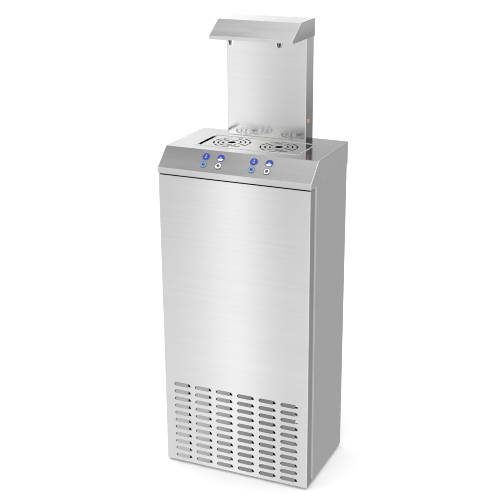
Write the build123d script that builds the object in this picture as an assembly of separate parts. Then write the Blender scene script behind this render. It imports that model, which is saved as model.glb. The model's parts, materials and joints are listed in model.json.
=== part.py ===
"""Twin-outlet chilled drinking fountain: floor-standing cabinet, folded worktop cap and spout column.

Millimetres. +X is to the right seen from the front, +Y to the back, +Z up. The origin is on the floor,
at the middle of the overall width and depth.
"""
from build123d import *
import os
from math import atan2, cos, hypot, radians, sin

# ---------------------------------------------------------------- driving dimensions
CABINET_W = 480.0          # across the side panels
FRONT_Y = -157.0           # foremost point, the louvre lips
BACK_Y = 157.0             # wall plane: the cap's and the column's rear face
PANEL_Y = -152.0           # outer face of the front panel
LIP_Y = -152.5             # outer face of the cap's front lip
SHEET = 1.2                # panel sheet thickness
CAP_SHEET = 1.5            # cap, hood and column sheet thickness

FLOOR_GAP = 8.0            # underside of the cabinet above the floor
PANEL_TOP_Z = 956.0
LIP_BOTTOM_Z = 960.0
LIP_TOP_Z = 977.0
WORKTOP_Z = 1030.0
FASCIA_RUN = 58.0          # depth taken by the sloped control fascia
CAP_W = 484.0

COLUMN_W = 256.0
COLUMN_Y = 97.0            # front face of the spout column
HOOD_W = 262.0
HOOD_TOP_Z = 1390.0
HOOD_LIP_TOP_Z = 1349.0
HOOD_LIP_BOTTOM_Z = 1339.0
HOOD_FRONT_Y = -19.0
HOOD_SLOPE_RUN = 63.0

SPOUT_X = 76.0             # each outlet either side of the middle
SPOUT_Y = 13.5
SPOUT_TIP_Z = 1321.0

GRILLE_Y0 = -48.5
GRILLE_Y1 = 79.5
GRILLE_X0 = -151.0         # left edge: leaves a finger gap to lift the grille
GRILLE_X1 = 160.8
TRAY_OPENING_X = 162.0
TRAY_OPENING_Y0 = -49.7
TRAY_OPENING_Y1 = 80.7

BUTTON_PITCH = 47.5        # between the two buttons of one outlet
BUTTON_UP = 26.0           # button centre up the fascia from the lip fold
LABEL_UP = 53.5            # icon disc centre up the fascia from the lip fold
BUTTON_HOLE_R = 9.6
BUTTON_TRAVEL = 1.5

LOUVRE_COLUMNS = 6
LOUVRE_ROWS = 11
LOUVRE_PITCH_X = 72.0
LOUVRE_PITCH_Z = 25.2
LOUVRE_BOTTOM_Z = 27.5
LOUVRE_W = 56.0
LOUVRE_H = 10.0
LOUVRE_LEFT_GAP = 4.5      # the blade stops short of each end of its slot
LOUVRE_RIGHT_GAP = 7.0

HALF_W = CABINET_W / 2
HALF_CAP = CAP_W / 2
HALF_COLUMN = COLUMN_W / 2
HALF_HOOD = HOOD_W / 2
UP = (Align.CENTER, Align.CENTER, Align.MIN)
FASCIA_RISE = WORKTOP_Z - LIP_TOP_Z
FASCIA_LENGTH = hypot(FASCIA_RUN, FASCIA_RISE)
FASCIA_UP = Vector(0, FASCIA_RUN / FASCIA_LENGTH, FASCIA_RISE / FASCIA_LENGTH)
FASCIA_NORMAL = Vector(0, -FASCIA_UP.Z, FASCIA_UP.Y)
BUTTON_XS = [side * SPOUT_X + step * BUTTON_PITCH / 2 for side in (-1, 1) for step in (-1, 1)]

POST_X = HALF_W - 1.4      # outer face of the corner posts
SHELF_Z = 395.0
SERVICE_Y = 140.0          # rear connections stand on a plate set in from the back
SERVICE_Z = 345.0
RETURN_DEPTH = 35.0        # front panel wraps round the corner this far
SIDE_FRONT_Y = PANEL_Y + 48.0


# ---------------------------------------------------------------- small helpers
def span(x0, x1, y0, y1, z0, z1):
    """Block between two corners."""
    block = Box(x1 - x0, y1 - y0, z1 - z0)
    return Pos((x0 + x1) / 2, (y0 + y1) / 2, (z0 + z1) / 2) * block


def prism_x(outline, x0, x1):
    """Outline of (y, z) corners drawn out along X."""
    face = Plane.YZ * Polygon(*outline, align=None)
    return Pos(x0, 0, 0) * extrude(face, amount=x1 - x0, dir=(1, 0, 0))


def rod(radius, start, end):
    """Round bar from one point to another."""
    run = Vector(*end) - Vector(*start)
    return Plane(origin=start, z_dir=run) * Cylinder(radius, run.length, align=UP)


def pipe(points, radius, bore, bend):
    """Round tube along straight runs joined by arcs."""
    path = FilletPolyline(*points, radius=bend)
    ring = Circle(radius) - Circle(bore) if bore else Circle(radius)
    return sweep(Plane(origin=path @ 0, z_dir=path % 0) * ring, path=path)


def mirrored(solid):
    """The solid and its twin on the other side of the middle plane."""
    return [solid, mirror(solid, about=Plane.YZ)]


def on_fascia(x, up_slope):
    """Frame on the fascia's outer face, with local +Z pointing out of it."""
    foot = Vector(x, LIP_Y, LIP_TOP_Z) + FASCIA_UP * up_slope
    return Plane(origin=foot, x_dir=(1, 0, 0), z_dir=FASCIA_NORMAL)


def hex_nut(across_flats, bore, height):
    """Hexagonal nut standing on the local XY plane."""
    blank = extrude(RegularPolygon(across_flats / 2, 6, major_radius=False), amount=height)
    return blank - Cylinder(bore, height, align=UP)


def pan_screw(head, shank, length):
    """Domed screw: head above the local XY plane, shank below it."""
    dome = Cylinder(head, 1.4, align=UP)
    dome = fillet(dome.edges().sort_by(Axis.Z)[-1], 0.9)
    return dome + Pos(0, 0, -length) * Cylinder(shank, length, align=UP)


def save(name, shape):
    """Write one node as parts/NAME.step."""
    if isinstance(shape, (list, tuple)):
        shape = Compound(children=list(shape))
    shape.label = name
    export_step(shape, f"parts/{name}.step")


# ---------------------------------------------------------------- cabinet
FOOT_SPOTS = [(x, y) for x in (-205.0, 205.0) for y in (-118.0, 118.0)]
STUD_R = 4.0
GLIDE_R = 18.0


def levelling_feet():
    """Four plastic-footed levelling studs through the base tray."""
    glide = fillet(Cylinder(GLIDE_R, 5.0, align=UP).edges().sort_by(Axis.Z)[-1], 2.0)
    foot = glide + Pos(0, 0, 5.0) * Cylinder(STUD_R, 33.0, align=UP)
    return [Pos(x, y, 0) * foot for x, y in FOOT_SPOTS]


def foot_locknuts():
    nut = hex_nut(13.0, STUD_R + 0.05, 6.0)
    return [Pos(x, y, FLOOR_GAP + CAP_SHEET) * nut for x, y in FOOT_SPOTS]


TRAY_X = POST_X - 1.7
PAN_H = 32.0               # base tray flanges
FOLD = 18.0                # front panel's top and bottom returns
BACK_SCREWS = [(x, z) for x in (-219.0, 219.0) for z in (30.0, 250.0, 500.0, 720.0, 928.0)]
COMPRESSOR_AT = (-92.0, 64.0)
COMPRESSOR_FOOT_DX = 62.0
COMPRESSOR_FOOT_DY = 58.0
FOOT_STEPS = [(dx, dy) for dx in (-COMPRESSOR_FOOT_DX, COMPRESSOR_FOOT_DX)
              for dy in (-COMPRESSOR_FOOT_DY, COMPRESSOR_FOOT_DY)]
COMPRESSOR_FEET = [(COMPRESSOR_AT[0] + dx, COMPRESSOR_AT[1] + dy) for dx, dy in FOOT_STEPS]


def back_screw_holes():
    """Clearance holes for the back panel's screws."""
    return [rod(2.0, (x, 120, z), (x, 160, z)) for x, z in BACK_SCREWS]


def base_tray():
    """Folded floor pan that carries the compressor and the feet."""
    z = FLOOR_GAP
    y0 = PANEL_Y + FOLD + 1
    y1 = 148.0
    pan = span(-TRAY_X, TRAY_X, y0, y1, z, z + PAN_H)
    pan -= span(-TRAY_X + CAP_SHEET, TRAY_X - CAP_SHEET, y0 + CAP_SHEET, y1 - CAP_SHEET,
                z + CAP_SHEET, z + PAN_H + 8)
    holes = [Pos(x, y, z - 1) * Cylinder(STUD_R + 0.2, 5, align=UP) for x, y in FOOT_SPOTS]
    holes += [Pos(x, y, z - 1) * Cylinder(3.2, 5, align=UP) for x, y in COMPRESSOR_FEET]
    holes += [span(60, 180, y, y + 6, z - 1, z + 4) for y in (-20, 0, 20, 40, 60, 80)]
    holes += back_screw_holes()
    return pan - holes


def louvre_outline(height_extra=0.0):
    """Louvre seen from the front: square lower corners and cut-off upper corners."""
    w = LOUVRE_W / 2
    h = LOUVRE_H / 2
    corner = 5.0
    points = [(-w, -h), (w, -h), (w, h - corner), (w - corner, h + height_extra),
              (-w + corner, h + height_extra), (-w, h - corner)]
    face = Plane.XZ * Polygon(*points, align=None)
    return Pos(0, 8, 0) * extrude(face, amount=24, dir=(0, -1, 0))


def louvre_blade():
    """Lanced sheet tongue: joined along its top edge, leaning out to its lower edge."""
    h = LOUVRE_H / 2
    reach = PANEL_Y - FRONT_Y
    lean = [(SHEET * 0.9, h + 0.8), (0, h + 0.8), (-reach, -h), (-reach + SHEET, -h)]
    blade = prism_x(lean, -LOUVRE_W / 2 + LOUVRE_LEFT_GAP, LOUVRE_W / 2 - LOUVRE_RIGHT_GAP)
    return blade & louvre_outline(0.8)


def louvre_spots():
    first_x = -(LOUVRE_COLUMNS - 1) / 2 * LOUVRE_PITCH_X
    return [(first_x + i * LOUVRE_PITCH_X, LOUVRE_BOTTOM_Z + j * LOUVRE_PITCH_Z)
            for i in range(LOUVRE_COLUMNS) for j in range(LOUVRE_ROWS)]


def front_panel():
    """Front sheet with short returns on all four sides and the pressed louvres low down."""
    z0 = FLOOR_GAP
    outer = span(-HALF_W, HALF_W, PANEL_Y, PANEL_Y + RETURN_DEPTH, z0, PANEL_TOP_Z)
    corners = outer.edges().filter_by(Axis.Z).group_by(Axis.Y)[0]
    outer = fillet(corners, 2.2)
    inner = span(-HALF_W + SHEET, HALF_W - SHEET, PANEL_Y + SHEET, PANEL_Y + RETURN_DEPTH + 1,
                 z0 + SHEET, PANEL_TOP_Z - SHEET)
    shell = outer - inner
    behind_folds = (-HALF_W - 1, HALF_W + 1, PANEL_Y + FOLD, PANEL_Y + RETURN_DEPTH + 1)
    shell -= span(*behind_folds, z0 - 1, z0 + SHEET)
    shell -= span(*behind_folds, PANEL_TOP_Z - SHEET, PANEL_TOP_Z + 1)
    notch = span(POST_X - 2.5, HALF_W - SHEET, PANEL_Y + 5, PANEL_Y + FOLD + 1,
                 PANEL_TOP_Z - 2, PANEL_TOP_Z + 1)
    shell -= mirrored(notch)
    slot = louvre_outline() & span(-60, 60, -1, SHEET + 1, -20, 20)
    blade = louvre_blade()
    shell -= [Pos(x, PANEL_Y, z) * slot for x, z in louvre_spots()]
    return shell + [Pos(x, PANEL_Y, z) * blade for x, z in louvre_spots()]


def side_panel(side):
    """Plain side sheet with folded front and rear edges."""
    x0 = HALF_W - SHEET
    y1 = BACK_Y - 2
    z1 = LIP_BOTTOM_Z + 14
    sheet = span(x0, HALF_W, SIDE_FRONT_Y, y1, FLOOR_GAP, z1)
    sheet = fillet(sheet.edges().filter_by(Axis.Z).group_by(Axis.X)[-1], 0.5)
    rear_fold = span(x0 - 14, x0, y1 - SHEET, y1, FLOOR_GAP, z1)
    panel = sheet + rear_fold
    panel -= [rod(1.9, (230, y, z), (250, y, z)) for y, z in CAP_SCREW_SPOTS]
    return panel if side > 0 else mirror(panel, about=Plane.YZ)


def frame_posts():
    """Four corner angles, the front pair showing as a narrow strip beside the side panels."""
    z0 = FLOOR_GAP + 7.0
    z1 = PANEL_TOP_Z - 2 * SHEET
    above_pan = FLOOR_GAP + PAN_H + 1
    front = span(POST_X - 1.5, POST_X, PANEL_Y + 6, SIDE_FRONT_Y + 6, z0, PANEL_TOP_Z + 14)
    front += span(POST_X - 20, POST_X, SIDE_FRONT_Y + 4.5, SIDE_FRONT_Y + 6, above_pan, z1)
    rear = span(POST_X - 1.5, POST_X, 105, 147, z0, z1)
    rear += span(POST_X - 20, POST_X, 103.5, 105, above_pan, z1)
    return mirrored(front) + mirrored(rear)


RAIL_Z0 = 934.0
RAIL_Z1 = 949.0


def frame_rails():
    """Top rails tying the posts together under the cap."""
    x = POST_X - 21.5
    side = span(x - 1.5, x, -98, 103, RAIL_Z0, RAIL_Z1)
    front = span(-x, x, -100.5, -99, RAIL_Z0, RAIL_Z1)
    back = span(-x, x, 143, 144.5, RAIL_Z0, RAIL_Z1)
    return mirrored(side) + [front, back]


def cooler_shelf():
    """Shelf for the chiller tank, with its edges turned down."""
    x = POST_X - 22.0
    shelf = span(-x, x, -96, 102, SHELF_Z - 20, SHELF_Z)
    shelf -= span(-x + CAP_SHEET, x - CAP_SHEET, -96 + CAP_SHEET, 102 - CAP_SHEET,
                  SHELF_Z - 21, SHELF_Z - CAP_SHEET)
    shelf -= Pos(190, 15, SHELF_Z - 30) * Cylinder(13, 40, align=UP)
    return shelf - Pos(-175, 60, SHELF_Z - 30) * Cylinder(18, 40, align=UP)


SERVICE_X = 215.0
SERVICE_H = 70.0


def back_panel():
    """Rear sheet with exhaust slots and a window round the service plate."""
    y1 = BACK_Y - 4.5
    sheet = span(-POST_X + 1.8, POST_X - 1.8, y1 - SHEET, y1, FLOOR_GAP + 2, 952)
    window = span(-SERVICE_X + 10, SERVICE_X - 10, 100, 200,
                  SERVICE_Z - SERVICE_H / 2 + 5, SERVICE_Z + SERVICE_H / 2 - 5)
    slots = [span(x, x + 90, 100, 200, z, z + 7)
             for x in (-190, -80, 30) for z in range(50, 290, 20)]
    upper = [span(x, x + 60, 100, 200, z, z + 7) for x in (-150, -30, 90) for z in range(840, 920, 20)]
    return sheet - window - slots - upper - back_screw_holes()


WATER_AT = (95.0, SERVICE_Z)
DRAIN_AT = (190.0, SERVICE_Z)
MAINS_AT = (-160.0, SERVICE_Z)
STUB_Y0 = 143.0            # the free ends of the inlet and the drain start here


def service_plate():
    """Recessed plate that carries the water, drain and mains connections."""
    plate = span(-SERVICE_X, SERVICE_X, SERVICE_Y, SERVICE_Y + CAP_SHEET,
                 SERVICE_Z - SERVICE_H / 2, SERVICE_Z + SERVICE_H / 2)
    rims = [span(-SERVICE_X, SERVICE_X, SERVICE_Y, BACK_Y - 5.8, z, z + CAP_SHEET)
            for z in (SERVICE_Z - SERVICE_H / 2, SERVICE_Z + SERVICE_H / 2 - CAP_SHEET)]
    holes = [rod(10.6, (x, 130, z), (x, 150, z)) for x, z in (WATER_AT, DRAIN_AT)]
    socket = span(MAINS_AT[0] - 14, MAINS_AT[0] + 14, 130, 150, SERVICE_Z - 10.5, SERVICE_Z + 10.5)
    return plate + rims - holes - socket


def water_inlet():
    """Brass inlet tail with a half-inch parallel thread's outside diameter."""
    x, z = WATER_AT
    body = rod(9.9, (x, 128, z), (x, STUB_Y0, z)) + rod(10.48, (x, STUB_Y0, z), (x, BACK_Y - 1, z))
    collar = Pos(x, SERVICE_Y - 4, z) * Rot(-90, 0, 0) * extrude(
        RegularPolygon(14, 6, major_radius=False), amount=4)
    return body + collar - rod(7, (x, 120, z), (x, 170, z))


def drain_outlet():
    """Plain waste stub behind the service plate's face."""
    x, z = DRAIN_AT
    stub = rod(9.5, (x, 132, z), (x, STUB_Y0, z)) + rod(10.0, (x, STUB_Y0, z), (x, BACK_Y - 1, z))
    collar = rod(14.0, (x, SERVICE_Y - 3, z), (x, SERVICE_Y, z))
    return stub + collar - rod(8, (x, 120, z), (x, 170, z))


def mains_inlet():
    """Three-pin appliance inlet: flanged shroud and flat pins."""
    x, z = MAINS_AT
    flange = span(x - 24, x + 24, SERVICE_Y + CAP_SHEET, SERVICE_Y + CAP_SHEET + 3, z - 14, z + 14)
    flange = fillet(flange.edges().filter_by(Axis.Y), 3)
    body = span(x - 13.8, x + 13.8, 122, SERVICE_Y + CAP_SHEET, z - 10.3, z + 10.3)
    well = span(x - 12.2, x + 12.2, 126, 160, z - 8.2, z + 8.2)
    pins = [span(x + dx - 1, x + dx + 1, 124, 142, z + dz - 2, z + dz + 2)
            for dx, dz in ((-7, 0), (7, 0), (0, 3.5))]
    return flange + body - well + pins


def panel_screws():
    """Domed screws down both edges of the back panel."""
    screw = pan_screw(3.4, 1.9, 8)
    y = BACK_Y - 4.5
    return [Pos(x, y, z) * Rot(-90, 0, 0) * screw for x, z in BACK_SCREWS]


# ---------------------------------------------------------------- worktop cap
def cap_outline(inset, open_bottom):
    """Side profile of the folded cap, moved inwards by the sheet thickness where asked."""
    slope = atan2(FASCIA_RISE, FASCIA_RUN)
    drop = inset / cos(slope)
    back = BACK_Y - inset
    top = WORKTOP_Z - inset
    front = LIP_Y + inset
    bottom = LIP_BOTTOM_Z - open_bottom
    knee_y = LIP_Y + FASCIA_RUN + (drop - inset) * FASCIA_RUN / FASCIA_RISE
    lip_top = LIP_TOP_Z - drop + inset * FASCIA_RISE / FASCIA_RUN
    return [(back, bottom), (back, top), (knee_y, top), (front, lip_top), (front, bottom)]


def round_opening(grow, z0, z1):
    """Block the size of the grille's recess, larger all round by the given amount."""
    return span(-TRAY_OPENING_X - grow, TRAY_OPENING_X + grow,
                TRAY_OPENING_Y0 - grow, TRAY_OPENING_Y1 + grow, z0, z1)


CAP_SCREW_SPOTS = [(-76.5, 967.0), (96.0, 967.3)]


def worktop_cap():
    """One folded piece: worktop, sloped control fascia, front lip and side skirts."""
    outer = prism_x(cap_outline(0, 0), -HALF_CAP, HALF_CAP)
    folds = outer.edges().filter_by(Axis.X).group_by(Axis.Z)
    outer = fillet(folds[-1].sort_by(Axis.Y)[0:1] + folds[1], 2.4)
    rims = outer.faces().filter_by(Axis.X)
    rim_edges = [e for f in rims for e in f.edges() if e.bounding_box().max.Z > LIP_BOTTOM_Z + 1]
    outer = fillet(rim_edges, 1.9)
    inner = prism_x(cap_outline(CAP_SHEET, 5), -HALF_CAP + CAP_SHEET, HALF_CAP - CAP_SHEET)
    cap = outer - inner - round_opening(SHEET + 0.2, WORKTOP_Z - 4, WORKTOP_Z + 2)
    cap -= [on_fascia(x, BUTTON_UP) * Cylinder(BUTTON_HOLE_R, 12) for x in BUTTON_XS]
    cap -= span(-100, 100, COLUMN_Y + 10, COLUMN_Y + 50, WORKTOP_Z - 4, WORKTOP_Z + 2)
    cap -= [rod(1.9, (side * 236, y, z), (side * 250, y, z)) for side in (-1, 1) for y, z in CAP_SCREW_SPOTS]
    return cap


def cap_screws():
    """Two domed screws through each side skirt."""
    screw = pan_screw(2.6, 1.7, 7)
    right = [Pos(HALF_CAP, y, z) * Rot(0, 90, 0) * screw for y, z in CAP_SCREW_SPOTS]
    return right + [mirror(s, about=Plane.YZ) for s in right]


BASIN_LEDGE = 7.0
RIM_W = 5.0
RIM_H = 1.6
BASIN_DEPTH = 42.0
BASIN_TOP_Z = WORKTOP_Z - CAP_SHEET
BASIN_Y = (TRAY_OPENING_Y0 + TRAY_OPENING_Y1) / 2


def drip_basin():
    """Drop-in pan: beaded rim, recess with the grille's ledge on three sides, bowl and waste spout."""
    bead = round_opening(RIM_W, WORKTOP_Z, WORKTOP_Z + RIM_H)
    bead -= round_opening(0, WORKTOP_Z - 1, WORKTOP_Z + RIM_H + 1)
    bead = fillet(bead.edges().group_by(Axis.Z)[-1], RIM_H - 0.2)
    recess = round_opening(SHEET, BASIN_TOP_Z - SHEET, WORKTOP_Z)
    recess -= round_opening(0, BASIN_TOP_Z, WORKTOP_Z + 1)
    x0 = -TRAY_OPENING_X - SHEET
    x1 = TRAY_OPENING_X - BASIN_LEDGE
    y0 = TRAY_OPENING_Y0 + BASIN_LEDGE
    y1 = TRAY_OPENING_Y1 - BASIN_LEDGE
    z0 = BASIN_TOP_Z - BASIN_DEPTH
    bowl = span(x0, x1, y0, y1, z0, BASIN_TOP_Z)
    bowl = fillet(bowl.edges().filter_by(Axis.Z), 14)
    bowl = fillet(bowl.edges().group_by(Axis.Z)[0], 8)
    hollow = span(x0 + SHEET, x1 - SHEET, y0 + SHEET, y1 - SHEET, z0 + SHEET, BASIN_TOP_Z + 5)
    hollow = fillet(hollow.edges().filter_by(Axis.Z), 12.8)
    hollow = fillet(hollow.edges().group_by(Axis.Z)[0], 6.8)
    spout = rod(14, (0, BASIN_Y, z0 - 24), (0, BASIN_Y, z0 + SHEET))
    pan = bead + recess + bowl + spout
    return pan - hollow - rod(12.4, (0, BASIN_Y, z0 - 30), (0, BASIN_Y, z0 + 4))


RING_RADII = (27.0, 41.0, 55.0)
RING_SLOTS = (6, 8, 10)
SLOT_W = 5.0
SPOUT_HOLE_R = 12.5


def arc_slot(radius, centre_deg, sweep_deg):
    """Round-ended slot that follows a circle."""
    half = radians(sweep_deg / 2)
    mid = radians(centre_deg)
    ends = [(radius * cos(mid + s * half), radius * sin(mid + s * half)) for s in (-1, 0, 1)]
    return SlotArc(ThreePointArc(*ends), SLOT_W)


def drip_grille():
    """Lift-out plate with two round patterns of curved slots, each about a larger drain hole."""
    thick = 1.2
    plate = span(GRILLE_X0, GRILLE_X1, GRILLE_Y0, GRILLE_Y1, WORKTOP_Z - thick, WORKTOP_Z)
    plate = fillet(plate.edges().filter_by(Axis.Z), 2.0)
    holes = []
    for radius, count in zip(RING_RADII, RING_SLOTS):
        pitch = 360 / count
        holes += [arc_slot(radius, (i + 0.5) * pitch, pitch * 0.66) for i in range(count)]
    holes.append(Circle(SPOUT_HOLE_R))
    cutter = extrude(Sketch() + holes, amount=6)
    plate -= [Pos(side * SPOUT_X, SPOUT_Y, WORKTOP_Z - 4) * cutter for side in (-1, 1)]
    ribs = [span(-145, 145, y, y + 1.2, WORKTOP_Z - 9, WORKTOP_Z - thick)
            for y in (GRILLE_Y0 + 9.4, GRILLE_Y1 - 10.6)]
    return plate + ribs


def drain_hose():
    """Waste hose from the basin spout down to the rear outlet, clear of the chiller."""
    top = BASIN_TOP_Z - BASIN_DEPTH - 24
    side = DRAIN_AT[0]
    route = [(0, BASIN_Y, top), (0, BASIN_Y, top - 95), (side, BASIN_Y, top - 120),
             (side, BASIN_Y, SERVICE_Z), (side, 132, SERVICE_Z)]
    return pipe(route, 11, 9, 42)


# ---------------------------------------------------------------- controls
CAP_R = 4.5
RING_IN_R = 4.8
RING_OUT_R = 9.0
BEZEL_R = 11.0
BEZEL_H = 2.2


def icon_labels():
    """Four thin round discs let in above the buttons."""
    disc = fillet(Cylinder(12.0, 0.7, align=UP).edges().group_by(Axis.Z)[-1], 0.3)
    return [on_fascia(x, LABEL_UP) * disc for x in BUTTON_XS]


def button_housing():
    """Flanged metal barrel of one push-button."""
    flange = fillet(Cylinder(BEZEL_R, BEZEL_H, align=UP).edges().group_by(Axis.Z)[-1], 0.9)
    barrel = Pos(0, 0, -24) * Cylinder(BUTTON_HOLE_R - 0.1, 24, align=UP)
    well = Pos(0, 0, -2.0) * Cylinder(RING_OUT_R, 10, align=UP)
    bore = Pos(0, 0, -16) * Cylinder(CAP_R + 0.3, 30, align=UP)
    return flange + barrel - well - bore


def button_housings():
    return [on_fascia(x, BUTTON_UP) * button_housing() for x in BUTTON_XS]


def led_rings(xs):
    """Translucent rings that light round the button caps."""
    ring = Pos(0, 0, -2.0) * Cylinder(RING_OUT_R, BEZEL_H + 2.2, align=UP)
    ring = fillet(ring.edges().group_by(Axis.Z)[-1], 0.5)
    ring -= Pos(0, 0, -4) * Cylinder(RING_IN_R, 12, align=UP)
    return [on_fascia(x, BUTTON_UP) * ring for x in xs]


def button_cap(x):
    """Sprung centre cap with its stem."""
    head = Cylinder(CAP_R, BEZEL_H + 0.8 + BUTTON_TRAVEL, align=UP)
    head = fillet(head.edges().group_by(Axis.Z)[-1], 0.7)
    stem = Pos(0, 0, -12.0) * Cylinder(2.6, 12.0, align=UP)
    return on_fascia(x, BUTTON_UP) * (head + stem)


def button_nuts():
    nut = hex_nut(24, BUTTON_HOLE_R - 0.05, 4)
    return [on_fascia(x, BUTTON_UP) * Pos(0, 0, -CAP_SHEET - 4) * nut for x in BUTTON_XS]


BOX_Z0 = 845.0
BOX_Z1 = 915.0
BOX_Y0 = -142.0
BOX_Y1 = -62.0
BOX_X = 105.0


def control_box():
    """Open-topped electrical box behind the front panel."""
    box = span(-BOX_X, BOX_X, BOX_Y0, BOX_Y1, BOX_Z0, BOX_Z1)
    box -= span(-BOX_X + 2, BOX_X - 2, BOX_Y0 + 2, BOX_Y1 - 2, BOX_Z0 + 2, BOX_Z1 + 1)
    tabs = [span(side * BOX_X - 8, side * BOX_X + 8, BOX_Y1, BOX_Y1 + 2, BOX_Z0, BOX_Z1 + 20)
            for side in (-1, 1)]
    return box + tabs


def control_box_lid():
    return span(-BOX_X - 1, BOX_X + 1, BOX_Y0 - 1, BOX_Y1 - 0.2, BOX_Z1, BOX_Z1 + 2)


def control_board():
    """Circuit board with relays and terminals, on short pillars."""
    z = BOX_Z0 + 10
    board = span(-90, 90, BOX_Y0 + 10, BOX_Y1 - 10, z, z + 1.6)
    pillars = [Pos(x, y, BOX_Z0 + 2) * Cylinder(3, 8, align=UP)
               for x in (-84, 84) for y in (BOX_Y0 + 16, BOX_Y1 - 16)]
    relays = [span(x, x + 20, BOX_Y0 + 22, BOX_Y0 + 38, z + 1.6, z + 17) for x in (-70, -42, -14, 14)]
    terminals = span(44, 84, BOX_Y0 + 14, BOX_Y0 + 26, z + 1.6, z + 14)
    return board + pillars + relays + terminals


# ---------------------------------------------------------------- spout column and hood
def column_shell():
    """Folded channel: front face, two sides and narrow rear returns, with a bolting flange."""
    z0 = WORKTOP_Z
    z1 = HOOD_TOP_Z - 3
    outer = span(-HALF_COLUMN, HALF_COLUMN, COLUMN_Y, BACK_Y - 1.5, z0, z1)
    outer = fillet(outer.edges().filter_by(Axis.Z).group_by(Axis.Y)[0], 2.0)
    inner = span(-HALF_COLUMN + CAP_SHEET, HALF_COLUMN - CAP_SHEET,
                 COLUMN_Y + CAP_SHEET, BACK_Y - 1.5 - CAP_SHEET, z0 + CAP_SHEET, z1 + 5)
    rear_gap = span(-HALF_COLUMN + 14, HALF_COLUMN - 14, BACK_Y - 6, BACK_Y + 5, z0 + 12, z1 + 5)
    floor_gap = span(-100, 100, COLUMN_Y + 10, COLUMN_Y + 50, z0 - 1, z0 + 4)
    spout_gap = [span(side * SPOUT_X - 9, side * SPOUT_X + 9, COLUMN_Y - 3, COLUMN_Y + 6,
                      HOOD_LIP_BOTTOM_Z + 8, z1 + 5) for side in (-1, 1)]
    lamp = rod(LAMP_R + 0.1, (HALF_COLUMN - 8, LAMP_Y, LAMP_Z), (HALF_COLUMN + 8, LAMP_Y, LAMP_Z))
    return outer - inner - rear_gap - floor_gap - spout_gap - lamp


def column_back_cover():
    """Flat sheet closing the back of the column, set inside its returns."""
    y1 = BACK_Y - 1.5 - CAP_SHEET
    cover = span(-HALF_COLUMN + 3, HALF_COLUMN - 3, y1 - SHEET, y1, WORKTOP_Z + 3, HOOD_TOP_Z - 6)
    return cover - [rod(1.9, (x, 120, z), (x, 170, z)) for x, z in COVER_SCREWS]


COVER_SCREWS = [(side * (HALF_COLUMN - 20), z) for side in (-1, 1) for z in (1050, 1180, 1310)]
LAMP_Y = 117.5
LAMP_Z = 1091.0
LAMP_R = 5.0
LENS_R = 4.2


def column_screws():
    screw = pan_screw(3.0, 1.8, 6)
    y = BACK_Y - 1.5 - CAP_SHEET
    return [Pos(x, y, z) * Rot(-90, 0, 0) * screw for x, z in COVER_SCREWS]


def hood_outline(inset, open_bottom):
    """Side profile of the folded hood."""
    rise = HOOD_TOP_Z - HOOD_LIP_TOP_Z
    slope = atan2(rise, HOOD_SLOPE_RUN)
    drop = inset / cos(slope)
    back = BACK_Y - inset
    top = HOOD_TOP_Z - inset
    front = HOOD_FRONT_Y + inset
    bottom = HOOD_LIP_BOTTOM_Z - open_bottom
    knee_y = HOOD_FRONT_Y + HOOD_SLOPE_RUN + (drop - inset) * HOOD_SLOPE_RUN / rise
    lip_top = HOOD_LIP_TOP_Z - drop + inset * rise / HOOD_SLOPE_RUN
    return [(back, bottom), (back, top), (knee_y, top), (front, lip_top), (front, bottom)]


def hood_shell():
    """Folded hood over the outlets: flat top, sloping front, narrow lip and side skirts."""
    outer = prism_x(hood_outline(0, 0), -HALF_HOOD, HALF_HOOD)
    folds = outer.edges().filter_by(Axis.X).group_by(Axis.Z)
    outer = fillet(folds[-1].sort_by(Axis.Y)[0:1] + folds[1], 2.0)
    rims = outer.faces().filter_by(Axis.X)
    rim_edges = [e for f in rims for e in f.edges() if e.bounding_box().max.Z > HOOD_LIP_BOTTOM_Z + 1]
    outer = fillet(rim_edges, 1.6)
    inner = prism_x(hood_outline(CAP_SHEET, 5), -HALF_HOOD + CAP_SHEET, HALF_HOOD - CAP_SHEET)
    return outer - inner


UNDER_Z = HOOD_LIP_BOTTOM_Z + 4


def hood_underplate():
    """Plate closing the hood's underside in front of the column, drilled for the two outlets."""
    x = HALF_HOOD - CAP_SHEET - 0.2
    y0 = HOOD_FRONT_Y + CAP_SHEET + 0.2
    plate = span(-x, x, y0, COLUMN_Y - 0.2, UNDER_Z, UNDER_Z + SHEET)
    plate += span(-x, x, y0, y0 + SHEET, UNDER_Z, UNDER_Z + 4)
    return plate - [Pos(s * SPOUT_X, SPOUT_Y, UNDER_Z - 2) * Cylinder(7.1, 6, align=UP) for s in (-1, 1)]


def spout(side):
    """Conical outlet nozzle with a threaded shank through the underplate."""
    profile = [(0, SPOUT_TIP_Z), (7.2, SPOUT_TIP_Z), (8.0, SPOUT_TIP_Z + 1.2), (14.4, UNDER_Z - 7.0),
               (15.0, UNDER_Z - 6.0), (15.0, UNDER_Z), (7.0, UNDER_Z), (7.0, UNDER_Z + 14), (0, UNDER_Z + 14)]
    body = revolve(Plane.XZ * Polygon(*profile, align=None), axis=Axis.Z)
    body -= Pos(0, 0, SPOUT_TIP_Z - 1) * Cylinder(5.6, 8, align=UP)
    body -= Pos(0, 0, SPOUT_TIP_Z - 1) * Cylinder(4.0, 60, align=UP)
    return Pos(side * SPOUT_X, SPOUT_Y, 0) * body


def spout_nuts():
    nut = hex_nut(20, 7.05, 4)
    return [Pos(side * SPOUT_X, SPOUT_Y, UNDER_Z + SHEET) * nut for side in (-1, 1)]


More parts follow.
